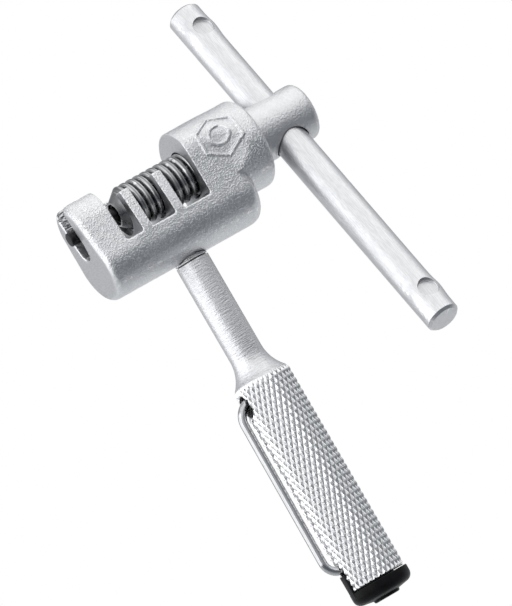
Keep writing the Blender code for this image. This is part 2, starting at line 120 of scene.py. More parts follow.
# Screw
THREAD_RADIUS = 5.4
THREAD_ROOT = 4.4
PITCH = 1.814
TIP_RADIUS = 2.9
TAPER_LENGTH = 3.1
TIP_BORE = 2.6
THREAD_END_X = 24.6
SCREW_NECK = 4.1
HEAD_RADIUS = SCREW_HIGH.y
HEAD_START_X = BODY_HIGH.x + GAP
HEAD_RIM = 1.5                  # rounding of the head's free end
HEAD_EDGE = 0.5                 # rounding of the end next to the body
HEAD_ARC_STEPS = 7
HOLE_RIM = 0.7                  # how far the softened rim of the bar's hole reaches
HOLE_RIM_DEPTH = 0.3
THREAD_CREST = 0.75             # share of half a pitch over which a crest rises
SCREW_GRID = 0.13               # mesh size along the thread

# Bar
BAR_RADIUS = 4.0
BAR_LENGTH = 100.0
BAR_EDGE = 0.6                  # chamfer at its ends
DIMPLE_FROM_END = 7.1
DIMPLE_RADIUS = 2.5
DIMPLE_DEPTH = 1.15
DIMPLE_TURN = math.radians(81)  # round the bar, from the screw's direction
DIMPLE_FLOOR_EDGE = 0.3         # rounding where a dimple's wall meets its floor
DIMPLE_SHADE = 0.14             # how much of the dark recess colour the dimples' floors take
SHADE_DEPTH = 0.3               # from this far under the bar's surface
BULGE = 0.28                    # how far the punch pushes the bar's sides out
BULGE_TURN = math.radians(52)   # from the dimple's middle
BULGE_SPREAD = math.radians(24)
BULGE_LENGTH = 2.4

# Pins
PIN_RADIUS = 1.625
PIN_HEAD_RADIUS = 2.3
PIN_HEAD_LENGTH = 2.2

# Handle
NECK_RADIUS = 4.0
STUD_RADIUS = 3.0
NECK_TOP_Z = -17.32             # the visible neck runs up to its ring
FIT = 0.1                       # the ring's closer clearance round the stud and under the keel
KEEL_Z = BODY_LOW.z
KEEL_RADIUS = 8.0
KEEL_FLAT_HALF = 0.65           # of the flat strip along the keel
WASHER_RADIUS = 3.95
WASHER_RANGE_Z = (-17.07, -16.8)
COLLAR_RADIUS = 3.5
GRIP_RADIUS = HANDLE_HIGH.x
GRIP_START_Z = -47.7
GRIP_END_Z = HANDLE_LOW.z
GRIP_BORE = 4.5
GRIP_BORE_TOP_Z = -48.9
GRIP_BORE_CONE = 1.5            # height of the drilled cone that ends the bore
GRIP_MOUTH = 0.3                # chamfer at the bore's mouth
GRIP_EDGE = 0.28                # chamfer at the knurl's ends
STUD_EDGE = 0.3
FLARE_START_Z = -41.0
FLARE_RADIUS = 9.2
KNURL_STARTS = 32
DIAMOND_HEIGHT = 2.94
KNURL_DEPTH = 0.5
# (share of the diamond's width, share of the knurl's depth), from a diamond's foot to its flat top
DIAMOND_RINGS = ((1.0, 1.0), (0.94, 0.97), (0.30, 0.10), (0.18, 0.0))
HOOK_HOLE_RADIUS = 2.7
HOOK_HOLE_DROP = 1.0            # of the hole's middle below the wire's
HOOK_SINK = 0.65                # depth of the countersink round the hook's hole
NOTCH_HALF = 1.5
NOTCH_TOP_Z = -91.9

# Hook
WIRE_RADIUS = 1.0
WIRE_STEPS = 24
HOOK_TOP_X = -8.75
HOOK_BOTTOM_X = -9.2
HOOK_TOP_BEND = 4.4             # radii of the two bends
HOOK_BOTTOM_BEND = 3.4
BEND_STEPS = 20
WIRE_EDGE = 0.4                 # rounding of the wire's ends

# End cap
CAP_RADIUS = 7.2
CAP_SHIFT_X = 0.1
CAP_GAP = 0.5                   # between the grip's end and the flange
CAP_RIM = 1.9                   # rounding of the flange's lower rim
CAP_STEP_RADIUS = 6.6           # thin step just below the grip
CAP_STEP = 0.22
CAP_ROOT = 1.0                  # how deep the plug and the tongue reach into the flange
PLUG_RADIUS = GRIP_BORE - GAP
PLUG_ABOVE_SPARE = 2.7          # height of the plug's top over the spare pin's low end
CAP_BOSS_RADIUS = 3.2
CAP_BOSS_HEIGHT = 0.6
CAP_RIM_HEIGHT = 1.3            # of the rim's lowest point above the boss
TONGUE_OUTER = -CAP_LOW.x
SPARE_SOCKET = PIN_RADIUS + 0.25    # radius of the hole that the spare pin stands in

# Studio
ROOM_LEVEL = 0.24               # of the dim room between the lobes
ROOM_TINT = (0.92, 0.99, 1.09)
LOBE_TINT = (1.0, 0.99, 0.965)
ROOM_LOBES = (                  # direction, cosine where it starts, cosine where it is full, gain
    ((0.15, -0.32, 0.93), 0.36, 0.85, 0.95),    # above and a little in front
    ((-0.45, 0.88, 0.1), 0.6, 0.97, 0.35),      # behind, on the left
    ((0.3, -0.95, 0.05), 0.7, 1.0, 0.14),       # in front
    ((0.85, 0.1, 0.5), 0.6, 1.0, 0.36),         # on the right
    ((-0.5, -0.86, 0.1), 0.8, 0.98, 0.4),       # round the camera
)
KEY_LIGHT = ((-1.0, -0.08, 0.17), 500.0, (900.0, 700.0), 1.4)     # direction, distance, size, radiance
FLOOR_LIGHT = ((0.0, 0.45, 0.9), 900.0, (500.0, 500.0), 4.0)
VIEW_AZIMUTH = math.radians(20.79)     # to the left of straight on
VIEW_ELEVATION = math.radians(-2.09)
VIEW_ROLL = math.radians(-30.21)
VIEW_DISTANCE = 2200.0
VIEW_SPAN = 134.37              # height of the picture at the tool
VIEW_AIM = Vector((7.54, -1.60, -32.4))
SENSOR = 36.0
FLOOR_CLEARANCE = 4.0           # under the cap when it is pulled right out
FLOOR_HALF = 2000.0
FLOOR_SHADE_Y = (-90.0, 20.0)      # y range over which the floor's painted shade, seen in reflections, turns from dark to bright


# -------- mesh helpers

def at(x=0.0, y=0.0, z=0.0):
    """A move to a place in millimetres from the tool's origin."""
    return Matrix.Translation((TOOL_ORIGIN + Vector((x, y, z))) * MM)


def link_object(name, data):
    obj = bpy.data.objects.new(name, data)
    bpy.context.scene.collection.objects.link(obj)
    return obj


def solid(name, points, faces):
    """A closed mesh from points in millimetres, placed at the tool's origin."""
    mesh = bpy.data.meshes.new(name)
    mesh.from_pydata(np.asarray(points, float) * MM, [], [list(map(int, face)) for face in faces])
    obj = link_object(name, mesh)
    tidy_mesh(obj)
    obj.matrix_world = at()
    return obj


def tidy_mesh(obj, weld=1e-6):
    """Welds double points, turns the faces outwards and shades the round parts smooth."""
    shape = bmesh.new()
    shape.from_mesh(obj.data)
    bmesh.ops.remove_doubles(shape, verts=shape.verts[:], dist=weld)
    bmesh.ops.dissolve_degenerate(shape, edges=shape.edges[:], dist=weld / 2)
    bmesh.ops.recalc_face_normals(shape, faces=shape.faces[:])
    shape.to_mesh(obj.data)
    shape.free()
    obj.data.shade_smooth()
    obj.data.set_sharp_from_angle(angle=SMOOTH_ANGLE)


def turned(name, outline, steps=96, relief=None, closed=False):
    """A solid turned about local Z from (radius, height) points.

    relief(radius, height, turn) may change the radius round the axis. A closed outline makes a ring.
    """
    rows = len(outline)
    turn = np.linspace(0.0, 2 * math.pi, steps, endpoint=False)[None, :].repeat(rows, axis=0)
    radius, height = (np.array(column, float)[:, None].repeat(steps, axis=1) for column in zip(*outline))
    if relief:
        radius = relief(radius, height, turn)
    points = np.stack((radius * np.cos(turn), radius * np.sin(turn), height), axis=-1).reshape(-1, 3)
    here = np.arange(steps)
    after = (here + 1) % steps
    faces = []
    for row in range(rows if closed else rows - 1):
        low = row * steps
        high = (row + 1) % rows * steps
        faces += zip(low + here, low + after, high + after, high + here)
    if not closed:
        faces += [here[::-1], (rows - 1) * steps + here]
    return solid(name, points, faces)


def arc(centre, radius, start, end, steps):
    """Points on an arc, with its angles in degrees."""
    turns = [math.radians(start + (end - start) * i / steps) for i in range(steps + 1)]
    return [(centre[0] + radius * math.cos(a), centre[1] + radius * math.sin(a)) for a in turns]


def rounded(outline, steps=4):
    """Turns each (x, y, radius) corner of an open outline into an arc; an (x, y) corner stays sharp."""
    points = []
    for i, corner in enumerate(outline):
        here = Vector(corner[:2])
        if len(corner) == 2:
            points.append(tuple(here))
            continue
        before = (Vector(outline[i - 1][:2]) - here).normalized()
        after = (Vector(outline[(i + 1) % len(outline)][:2]) - here).normalized()
        half = before.angle(after) / 2
        reach = corner[2] / math.tan(half)
        centre = here + (before + after).normalized() * (corner[2] / math.sin(half))
        start = here + before * reach - centre
        end = here + after * reach - centre
        for k in range(steps + 1):
            spoke = start.lerp(end, k / steps).normalized() * corner[2]
            points.append(tuple(centre + spoke))
    return points


def along_x(obj):
    """Turns local Z to the screw's direction."""
    obj.matrix_world = at() @ Matrix.Rotation(math.pi / 2, 4, "Y")
    return obj


def bar_turn():
    """Turns local Z to the bar's direction, with local Y towards the side the dimples are on."""
    across = Vector((0.0, BAR_AXIS.z, -BAR_AXIS.y))
    return Matrix((Vector((1.0, 0.0, 0.0)), across, BAR_AXIS)).transposed()


def along_bar(obj, centre):
    """Turns local Z to the bar's direction about a centre."""
    obj.matrix_world = at(*centre) @ bar_turn().to_4x4()
    return obj


def slab(name, low, high, edge):
    """A block between two corners with bevelled edges."""
    corners = [(x, y, z) for x in (low[0], high[0]) for y in (low[1], high[1]) for z in (low[2], high[2])]
    sides = ((0, 1, 3, 2), (4, 6, 7, 5), (0, 4, 5, 1), (2, 3, 7, 6), (0, 2, 6, 4), (1, 5, 7, 3))
    obj = solid(name, corners, sides)
    bevel = obj.modifiers.new("edge", "BEVEL")
    bevel.width = edge * MM
    bevel.segments = 3
    apply_modifiers(obj)
    return obj


def apply_modifiers(obj):
    """Bakes the modifiers into the mesh."""
    bpy.context.view_layer.update()
    evaluated = obj.evaluated_get(bpy.context.evaluated_depsgraph_get())
    mesh = bpy.data.meshes.new_from_object(evaluated)
    obj.modifiers.clear()
    obj.data = mesh


def combine(obj, tool, operation):
    """Joins or cuts obj with a guide, then drops the guide."""
    modifier = obj.modifiers.new(tool.name, "BOOLEAN")
    modifier.operation = operation
    modifier.solver = "EXACT"
    modifier.object = tool
    apply_modifiers(obj)
    bpy.data.objects.remove(tool, do_unlink=True)
    tidy_mesh(obj)


def smooth_step(value, start, end):
    """0 up to start, 1 from end on, and a smooth rise between them."""
    share = np.clip((value - start) / (end - start), 0.0, 1.0)
    return share * share * (3 - 2 * share)


def finish_piece(obj, body, slot, material, *nodes):
    """Gives a piece its material and ties it to the frame."""
    obj.data.materials.clear()
    obj.data.materials.append(material)
    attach(obj, body)
    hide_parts(*nodes)


def read_points(mesh):
    """The mesh's points in millimetres."""
    points = np.empty(len(mesh.vertices) * 3, np.float32)
    mesh.vertices.foreach_get("co", points)
    return points.reshape(-1, 3).astype(float) / MM


def read_normals(mesh):
    normals = np.empty(len(mesh.vertices) * 3, np.float32)
    mesh.vertex_normals.foreach_get("vector", normals)
    return normals.reshape(-1, 3).astype(float)


def write_points(mesh, points):
    mesh.vertices.foreach_set("co", (points * MM).astype(np.float32).ravel())
    mesh.update()


def write_values(obj, name, values):
    """Stores one number per point for the material to read."""
    obj.data.attributes.new(name, "FLOAT", "POINT").data.foreach_set("value", values.astype(np.float32))


# -------- casting

def emblem_place(points):
    """(across, up) from the emblem's middle, measured over the block's near side."""
    reach = np.hypot(points[:, 1], points[:, 2])
    climb = reach * np.arctan2(points[:, 2], -points[:, 1])
    return points[:, 0] - EMBLEM_X, climb - EMBLEM_ARC


def on_near_side(points):
    return (points[:, 1] < NEAR_SIDE[0]) & (points[:, 2] > NEAR_SIDE[1])


def ridge(distance, half):
    """1 on a line of the given half width, falling to 0 beside it."""
    return 1 - smooth_step(np.abs(distance), half - EMBLEM_DRAFT, half + EMBLEM_DRAFT)


def emblem_relief(points):
    """Height of the raised emblem: the outline of a plain hexagon nut."""
    across, up = emblem_place(points)
    reach = np.hypot(across, up)
    sector = (np.arctan2(up, across) + math.pi / 6) % (math.pi / 3) - math.pi / 6
    sides = reach * np.cos(sector) - EMBLEM_HALF
    hole = reach - EMBLEM_HOLE
    lines = np.maximum(ridge(sides, EMBLEM_RIM), ridge(hole, EMBLEM_RIM))
    floor = 1 - smooth_step(sides, -FIELD_DRAFT, FIELD_DRAFT)
    height = lines * (EMBLEM_HEIGHT + EMBLEM_FLOOR * floor) - EMBLEM_FLOOR * floor
    return np.where(on_near_side(points), height, 0.0)


def in_emblem(points):
    across, up = emblem_place(points)
    return (np.hypot(across, up) < 1.3 * EMBLEM_HALF) & on_near_side(points)


def in_pin_slot(points):
    wall = np.abs(np.abs(points[:, 1]) - PIN_SLOT_HALF) < PIN_SLOT_WALL
    return wall & (points[:, 0] < PIN_SLOT_END_X) & (points[:, 2] > PIN_SLOT_LOW_Z)


def refine(obj, choose):
    """Halves the mesh size where choose(points) says so."""
    shape = bmesh.new()
    shape.from_mesh(obj.data)
    chosen = choose(read_points(obj.data))
    edges = [edge for edge in shape.edges if all(chosen[vert.index] for vert in edge.verts)]
    bmesh.ops.subdivide_edges(shape, edges=edges, cuts=1, use_grid_fill=True)
    shape.to_mesh(obj.data)
    shape.free()


def pebble_relief(points):
    """Height of the orange-peel skin that the mould leaves."""
    relief = np.zeros(len(points))
    for size, height in PEBBLES:
        relief += [height * noise.noise(Vector(point) / size) for point in points]
    return relief


def soften_block(obj):
    """Blends the block's side flats into its round top, which the CAD joins at a crease."""
    points = read_points(obj.data)
    reach = np.hypot(points[:, 1], points[:, 2])
    facing = np.abs(points[:, 1]) / reach
    apart = np.abs(BODY_HALF / np.maximum(facing, 0.1) - BLOCK_RADIUS)
    inward = np.maximum(BLOCK_BLEND - apart, 0.0) ** 2 / (4 * BLOCK_BLEND)
    outer = (points[:, 0] > BLOCK_FACE_X - 1) & (points[:, 2] > 0) & (reach > BODY_HALF - 1)
    inward *= outer * (1 - smooth_step(points[:, 0], *BLOCK_FLAT_ENDS))
    points[:, 1:] *= (1 - inward / reach)[:, None]
    write_points(obj.data, points)


def casting_mesh():
    """The CAD solid with an even mesh and softened edges, finer at the emblem and the pin's slot."""
    mesh = frame["nodes"]["tool_body"].data.copy()
    mesh.transform(Matrix.Translation(-TOOL_ORIGIN * MM))
    obj = link_object("cradle_casting", mesh)
    tidy_mesh(obj)
    remesh = obj.modifiers.new("remesh", "REMESH")
    remesh.mode = "VOXEL"
    remesh.voxel_size = VOXEL * MM
    soften = obj.modifiers.new("soften", "SMOOTH")
    soften.iterations = SOFTEN_PASSES
    apply_modifiers(obj)
    refine(obj, in_emblem)
    refine(obj, in_pin_slot)
    soften_block(obj)
    return obj


def lean_ribs(points):
    """Leans the ribs' outer faces inwards, more towards their tops."""
    x, y, z = points.T
    climb = np.clip((z - SLOT_FLOOR_Z) / (TOOTH_TOP_Z - SLOT_FLOOR_Z), 0.0, 1.0)
    ribs = (x > RIBS_START_X) & (x < RIBS_END_X) & (np.abs(y) > THREAD_RADIUS)
    points[:, 1] -= np.sign(y) * ribs * RIB_LEAN * climb ** RIB_CURVE


def make_casting(material):
    """The cradle: soft cast edges, a pebbled skin, machined faces, a broached slot and an emblem."""
    obj = casting_mesh()
    points = read_points(obj.data)
    normals = read_normals(obj.data)
    machined = smooth_step(np.abs(normals[:, 0]), *MACHINED_FACING)
    to_axis = np.hypot(points[:, 1], points[:, 2])
    machined = np.maximum(machined, 1 - smooth_step(to_axis, *BORE_WALL))
    slot_walls = in_pin_slot(points)
    cast = (1 - machined) * ~slot_walls
    relief = pebble_relief(points) * cast + emblem_relief(points)
    for index in np.flatnonzero(slot_walls):
        x, _, z = points[index]
        mark = noise.noise(Vector((x / BROACH_STRETCH, 0.0, z)) / BROACH_PITCH)
        relief[index] -= BROACH_DEPTH * (0.5 + mark)
    points += normals * relief[:, None]
    lean_ribs(points)
    write_points(obj.data, points)
    x, _, z = points.T
    # Painted shade for the slots' machined walls: darkest next to the thread, fading out further away.
    in_slot = (x > ANVIL_FACE_X + 1) & (x < BLOCK_FACE_X + 1) & (z < TOOTH_TOP_Z)
    slot_painted_shade = 1 - smooth_step(to_axis, THREAD_RADIUS, THREAD_RADIUS + SLOT_SHADE_REACH)
    write_values(obj, "cast", cast)
    write_values(obj, "slot", in_slot * slot_painted_shade)
    obj.data.shade_smooth()
    obj.matrix_world = at()
    finish_piece(obj, "tool", "cast_nickel", material, "tool_body")


# -------- screw, pins and bar

def thread_relief(radius, height, turn):
    """Cuts a right-hand thread with broad round crests and narrow grooves, and a cone at the tip."""
    share = (height / PITCH - turn / (2 * math.pi)) % 1.0
    rise = np.clip((1 - np.abs(2 * share - 1)) / THREAD_CREST, 0.0, 1.0)
    crest = 1 - (1 - rise) ** 2
    limit = TIP_RADIUS + (THREAD_RADIUS - TIP_RADIUS) * (height - SCREW_LOW.x) / TAPER_LENGTH
    threaded = np.minimum(THREAD_ROOT + (THREAD_RADIUS - THREAD_ROOT) * crest, limit)
    return np.where(height < THREAD_END_X, np.minimum(radius, threaded), radius)


def screw_relief(radius, height, turn):
    """The thread, and a softened rim round the bar's hole in the head."""
    radius = thread_relief(radius, height, turn)
    place = np.stack((height, radius * np.sin(turn), -radius * np.cos(turn)), axis=-1)
    offset = place - np.array((CROSSING.x, 0.0, 0.0))
    along = offset @ np.array(BAR_AXIS)
    to_bar = np.linalg.norm(offset - along[..., None] * np.array(BAR_AXIS), axis=-1)
    rim = 1 - smooth_step(to_bar, BAR_RADIUS + GAP, BAR_RADIUS + GAP + HOLE_RIM)
    return radius - HOLE_RIM_DEPTH * rim * (np.abs(along) > BAR_RADIUS / 2)


def make_screw(material):
    """The threaded screw and its plain head, with the bar's hole across and the pin's hole at the tip."""
    inset = 0.05
    thread = np.arange(SCREW_LOW.x + inset, THREAD_END_X - inset, SCREW_GRID)
    outline = [(TIP_RADIUS, SCREW_LOW.x)] + [(THREAD_RADIUS, x) for x in thread]
    outline += [(SCREW_NECK, THREAD_END_X), (SCREW_NECK, HEAD_START_X)]
    head = rounded([(SCREW_NECK, HEAD_START_X), (HEAD_RADIUS, HEAD_START_X, HEAD_EDGE),
                    (HEAD_RADIUS, SCREW_HIGH.x, HEAD_RIM), (0.0, SCREW_HIGH.x)], HEAD_ARC_STEPS)[1:]
    side = np.linspace(HEAD_START_X + HEAD_EDGE, SCREW_HIGH.x - HEAD_RIM, 64)[1:-1]
    first_arc = HEAD_ARC_STEPS + 1
    outline += head[:first_arc] + [(HEAD_RADIUS, x) for x in side] + head[first_arc:]
    screw = along_x(turned("threaded_screw", outline, steps=120, relief=screw_relief))
    bore = turned("pin_bore", [(TIP_BORE, SCREW_LOW.x - 1), (TIP_BORE, PIN_HIGH.x + GAP)], 48)
    combine(screw, along_x(bore), "DIFFERENCE")
    reach = 2 * HEAD_RADIUS
    hole = turned("bar_hole", [(BAR_RADIUS + GAP, -reach), (BAR_RADIUS + GAP, reach)], 72)
    combine(screw, along_bar(hole, CROSSING - TOOL_ORIGIN), "DIFFERENCE")
    heights = read_points(screw.data)[:, 2]
    write_values(screw, "plated", smooth_step(heights, THREAD_END_X - 1, THREAD_END_X))
    finish_piece(screw, "screw", "dark_steel", material, "drive_screw")


def pin_outline(length):
    """A driver pin from its tip at height 0 to its head."""
    neck = length - PIN_HEAD_LENGTH
    return rounded([(0.0, 0.0), (PIN_RADIUS, 0.0, 0.22), (PIN_RADIUS, neck, 0.12),
                    (PIN_HEAD_RADIUS, neck, 0.15), (PIN_HEAD_RADIUS, length, 0.25), (0.0, length)])


def spare_place():
    """The spare pin's axis and low end."""
    middle = (SPARE_LOW + SPARE_HIGH) / 2
    return middle.x, middle.y, SPARE_LOW.z


def make_pins(material):
    """The working pin in the screw's tip and the spare one in the cap."""
    length = PIN_HIGH.x - PIN_LOW.x
    outline = pin_outline(length)
    pin = turned("black_driver_pin", [(radius, height + PIN_LOW.x) for radius, height in outline], 48)
    finish_piece(along_x(pin), "pin_carriage", "black_oxide", material, "driver_pin")
    spare = turned("black_spare_pin", outline, 48)
    spare.matrix_world = at(*spare_place())
    finish_piece(spare, "cap", "black_oxide", material, "spare_pin")


def make_bush(material):
    """The sleeve that holds the pin's head in the screw's hollow tip."""
    inner = PIN_RADIUS + GAP
    outer = TIP_BORE - GAP
    outline = rounded([(inner, BUSH_LOW.x, 0.1), (outer, BUSH_LOW.x, 0.2),
                       (outer, BUSH_HIGH.x, 0.1), (inner, BUSH_HIGH.x, 0.1)], steps=3)
    bush = along_x(turned("bush", outline, 48, closed=True))
    finish_piece(bush, "screw", "black_oxide", material, "pin_bush")


def bar_relief(radius, height, turn):
    """The punch that made each dimple also pushed the bar's sides out a little."""
    from_dimple = np.abs(height) - (BAR_LENGTH / 2 - DIMPLE_FROM_END)
    beside = np.abs(turn - DIMPLE_TURN) - BULGE_TURN
    push = np.exp(-(from_dimple / BULGE_LENGTH) ** 2 - (beside / BULGE_SPREAD) ** 2)
    return radius + BULGE * push * (radius > BAR_RADIUS - TINY)


def make_bar(material):
    """The sliding bar, with a flat-bottomed dimple punched near each end."""
    half = BAR_LENGTH / 2
    soft = BAR_EDGE / 3
    chamfer = [(BAR_RADIUS, half - BAR_EDGE, soft), (BAR_RADIUS - BAR_EDGE, half, soft)]
    mirrored = [(radius, -height, soft) for radius, height, soft in chamfer[::-1]]
    outline = rounded([(0.0, -half), *mirrored, *chamfer, (0.0, half)])
    heights = np.linspace(half - BAR_EDGE, half - 3 * DIMPLE_FROM_END, 60)[1:]
    side = [(BAR_RADIUS, height) for height in (*-heights, *heights[::-1])]
    middle = len(outline) // 2
    bar = turned("sliding_bar", outline[:middle] + side + outline[middle:], 120, relief=bar_relief)
    bar.matrix_world = Matrix()
    floor = BAR_RADIUS - DIMPLE_DEPTH
    punch = rounded([(0.0, floor), (DIMPLE_RADIUS, floor, DIMPLE_FLOOR_EDGE),
                     (DIMPLE_RADIUS, 2 * BAR_RADIUS)], steps=5)
    aim = Matrix.Rotation(DIMPLE_TURN - math.pi / 2, 4, "Z") @ Matrix.Rotation(-math.pi / 2, 4, "X")
    for end in (-1, 1):
        tool = turned("punch", punch, 56)
        place = Vector((0.0, 0.0, end * (half - DIMPLE_FROM_END))) * MM
        tool.matrix_world = Matrix.Translation(place) @ aim
        combine(bar, tool, "DIFFERENCE")
    points = read_points(bar.data)
    near_axis = np.hypot(points[:, 0], points[:, 1]) < BAR_RADIUS - SHADE_DEPTH
    sunk = near_axis & (np.abs(points[:, 2]) < half - 1)
    # The dimples' floors take a little of the dark recess colour.
    write_values(bar, "recess_darkening", DIMPLE_SHADE * sunk)
    bar.data.transform(along_bar(bar, (BAR_LOW + BAR_HIGH) / 2).matrix_world)
    bar.matrix_world = Matrix()
    finish_piece(bar, "bar", "turned_steel", material, "tommy_bar")


# -------- handle

def knurl_mesh():
    """The grip's skin: flat-topped diamonds between crossing V grooves, cut to the grip's length."""
    half_turn = math.pi / KNURL_STARTS
    half_height = DIAMOND_HEIGHT / 2
    rows = math.ceil((GRIP_START_Z - GRIP_END_Z) / half_height) + 2
    points = []
    faces = []
    for row in range(rows):
        middle = GRIP_END_Z + row * half_height
        for column in range(KNURL_STARTS):
            turn = half_turn * (2 * column + row % 2)
            first = len(points)
            for width, depth in DIAMOND_RINGS:
                radius = GRIP_RADIUS - KNURL_DEPTH * depth
                for right, up in ((1, 0), (0, 1), (-1, 0), (0, -1)):
                    angle = turn + half_turn * width * right
                    height = middle + half_height * width * up
                    points.append((radius * math.cos(angle), radius * math.sin(angle), height))
            for ring in range(len(DIAMOND_RINGS) - 1):
                low = first + 4 * ring
                faces += [(low + k, low + (k + 1) % 4, low + 4 + (k + 1) % 4, low + 4 + k)
                          for k in range(4)]
            faces.append([len(points) - 4 + k for k in range(4)])
    shape = bmesh.new()
    verts = [shape.verts.new(point) for point in points]
    for face in faces:
        shape.faces.new([verts[index] for index in face])
    bmesh.ops.remove_doubles(shape, verts=shape.verts[:], dist=1e-4)
    return shape


def trim(shape, height, up, clear):
    """Cuts the skin level at a height, and drops what is beyond it if clear is set."""
    bmesh.ops.bisect_plane(shape, geom=shape.verts[:] + shape.edges[:] + shape.faces[:], dist=1e-4,
                           plane_co=(0, 0, height), plane_no=(0, 0, up), clear_outer=clear)


def grow(shape, height, outline):
    """Carries on the skin's open rim at a height through the (radius, height) points of an outline.

    bmesh's own extrusion makes its faces in another order each run, so they are made here.
    """
    rim = [edge.verts[:] for edge in shape.edges
           if edge.is_boundary and all(abs(vert.co.z - height) < TINY for vert in edge.verts)]
    for radius, level in outline:
        made = {}
        for vert in (vert for pair in rim for vert in pair):
            if vert not in made:
                spoke = Vector((vert.co.x, vert.co.y, 0.0)).normalized() * radius
                made[vert] = shape.verts.new((spoke.x, spoke.y, level))
        for first, second in rim:
            shape.faces.new((first, second, made[second], made[first]))
        rim = [(made[first], made[second]) for first, second in rim]


def flare_outline():
    """The concave sweep from the grip in to the neck."""
    centre = (NECK_RADIUS + FLARE_RADIUS, FLARE_START_Z)
    drop = FLARE_START_Z - GRIP_START_Z
    sweep = arc(centre, FLARE_RADIUS, 180 + math.degrees(math.asin(drop / FLARE_RADIUS)), 180, 28)
    return [point for point in sweep if point[0] < GRIP_RADIUS - KNURL_DEPTH]


def make_handle(material):
    """Neck, flare and knurled grip in one piece, bored from below, with the hook's hole and notch."""
    shape = knurl_mesh()
    for end, up in ((GRIP_START_Z, 1), (GRIP_END_Z, -1)):
        trim(shape, end, up, True)
        trim(shape, end - up * GRIP_EDGE, up, False)
    for vert in shape.verts:
        to_end = min(GRIP_START_Z - vert.co.z, vert.co.z - GRIP_END_Z)
        radius = math.hypot(vert.co.x, vert.co.y)
        limit = GRIP_RADIUS - max(0.0, GRIP_EDGE - to_end)
        if radius > limit:
            vert.co.x *= limit / radius
            vert.co.y *= limit / radius
    shoulder = rounded([(NECK_RADIUS, FLARE_START_Z), (NECK_RADIUS, NECK_TOP_Z, 0.15),
                        (STUD_RADIUS, NECK_TOP_Z)])[1:]
    stud = [(STUD_RADIUS, HANDLE_HIGH.z - STUD_EDGE), (STUD_RADIUS - STUD_EDGE, HANDLE_HIGH.z),
            (0.0, HANDLE_HIGH.z)]
    grow(shape, GRIP_START_Z, flare_outline() + shoulder + stud)
    bore = [(GRIP_BORE + GRIP_MOUTH, GRIP_END_Z), (GRIP_BORE, GRIP_END_Z + GRIP_MOUTH),
            (GRIP_BORE, GRIP_BORE_TOP_Z), (0.0, GRIP_BORE_TOP_Z + GRIP_BORE_CONE)]
    grow(shape, GRIP_END_Z, bore)
    bmesh.ops.scale(shape, vec=(MM, MM, MM), verts=shape.verts[:])
    mesh = bpy.data.meshes.new("knurled_handle")
    shape.to_mesh(mesh)
    shape.free()
    handle = link_object("knurled_handle", mesh)
    handle.matrix_world = at()
    tidy_mesh(handle)
    reach = 2 * GRIP_RADIUS
    sink = GRIP_RADIUS - HOOK_SINK
    hole = turned("hook_hole", [(HOOK_HOLE_RADIUS + reach - sink, -reach), (HOOK_HOLE_RADIUS, -sink),
                                (HOOK_HOLE_RADIUS, 0.0)], 56)
    hole_z = HOOK_HIGH.z - WIRE_RADIUS - HOOK_HOLE_DROP
    hole.matrix_world = at(z=hole_z) @ Matrix.Rotation(math.pi / 2, 4, "Y")
    combine(handle, hole, "DIFFERENCE")
    notch = slab("notch", (-reach, -NOTCH_HALF, GRIP_END_Z - reach), (0.0, NOTCH_HALF, NOTCH_TOP_Z),
                 0.9 * NOTCH_HALF)
    combine(handle, notch, "DIFFERENCE")
    write_values(handle, "knurled", read_points(handle.data)[:, 2] < GRIP_START_Z + 0.05)
    finish_piece(handle, "tool", "turned_steel", material, "handle")


def make_ring(material):
    """A thin washer under the keel. Its collar rises into the space that the round keel leaves."""
    inner = STUD_RADIUS + FIT
    low = NECK_TOP_Z + FIT / 2
    washer_low, washer_top = WASHER_RANGE_Z
    outline = rounded([(inner, low), (COLLAR_RADIUS, low), (COLLAR_RADIUS, washer_low),
                       (WASHER_RADIUS, washer_low, 0.08), (WASHER_RADIUS, washer_top, 0.08),
                       (COLLAR_RADIUS, washer_top), (COLLAR_RADIUS, KEEL_Z), (inner, KEEL_Z)])
    ring = turned("thin_neck_ring", outline, 96, closed=True)
    points = read_points(ring.data)
    # Painted shade in the gaps under the washer and the keel: the recessed collar and bore take the dark
    # colour, half as much above the washer.
    recessed = np.hypot(points[:, 0], points[:, 1]) < COLLAR_RADIUS + TINY
    write_values(ring, "recess_darkening", recessed * np.where(points[:, 2] < washer_top - TINY, 1.0, 0.5))
    round_side = np.maximum(np.abs(points[:, 1]) - KEEL_FLAT_HALF, 0.0)
    keel = KEEL_Z - FIT + KEEL_RADIUS - np.sqrt(KEEL_RADIUS ** 2 - round_side ** 2)
    points[:, 2] = np.where(points[:, 2] > KEEL_Z - TINY, keel, points[:, 2])
    write_points(ring.data, points)
    finish_piece(ring, "tool", "turned_steel", material, "neck_ring")


# -------- hook and cap

def hook_path():
    """The wire's centre line in the XZ plane: leg, bend, long side, bend, leg."""
    leg_end = HOOK_HIGH.x
    top = HOOK_HIGH.z - WIRE_RADIUS
    bottom = HOOK_LOW.z + WIRE_RADIUS
    upper = arc((HOOK_TOP_X + HOOK_TOP_BEND, top - HOOK_TOP_BEND), HOOK_TOP_BEND, 90, 180, BEND_STEPS)
    lower = arc((HOOK_BOTTOM_X + HOOK_BOTTOM_BEND, bottom + HOOK_BOTTOM_BEND), HOOK_BOTTOM_BEND,
                180, 270, BEND_STEPS)
    return [(leg_end, top)] + upper + lower + [(leg_end, bottom)]


def wire_end(centre, inward, along):
    """(centre, direction, radius) stations that round off a wire's end, from the outside in."""
    stations = []
    for turn in np.linspace(math.pi / 2, 0, 5):
        place = centre + inward * WIRE_EDGE * (1 - math.sin(turn))
        stations.append((place, along, WIRE_RADIUS - WIRE_EDGE * (1 - math.cos(turn))))
    return stations


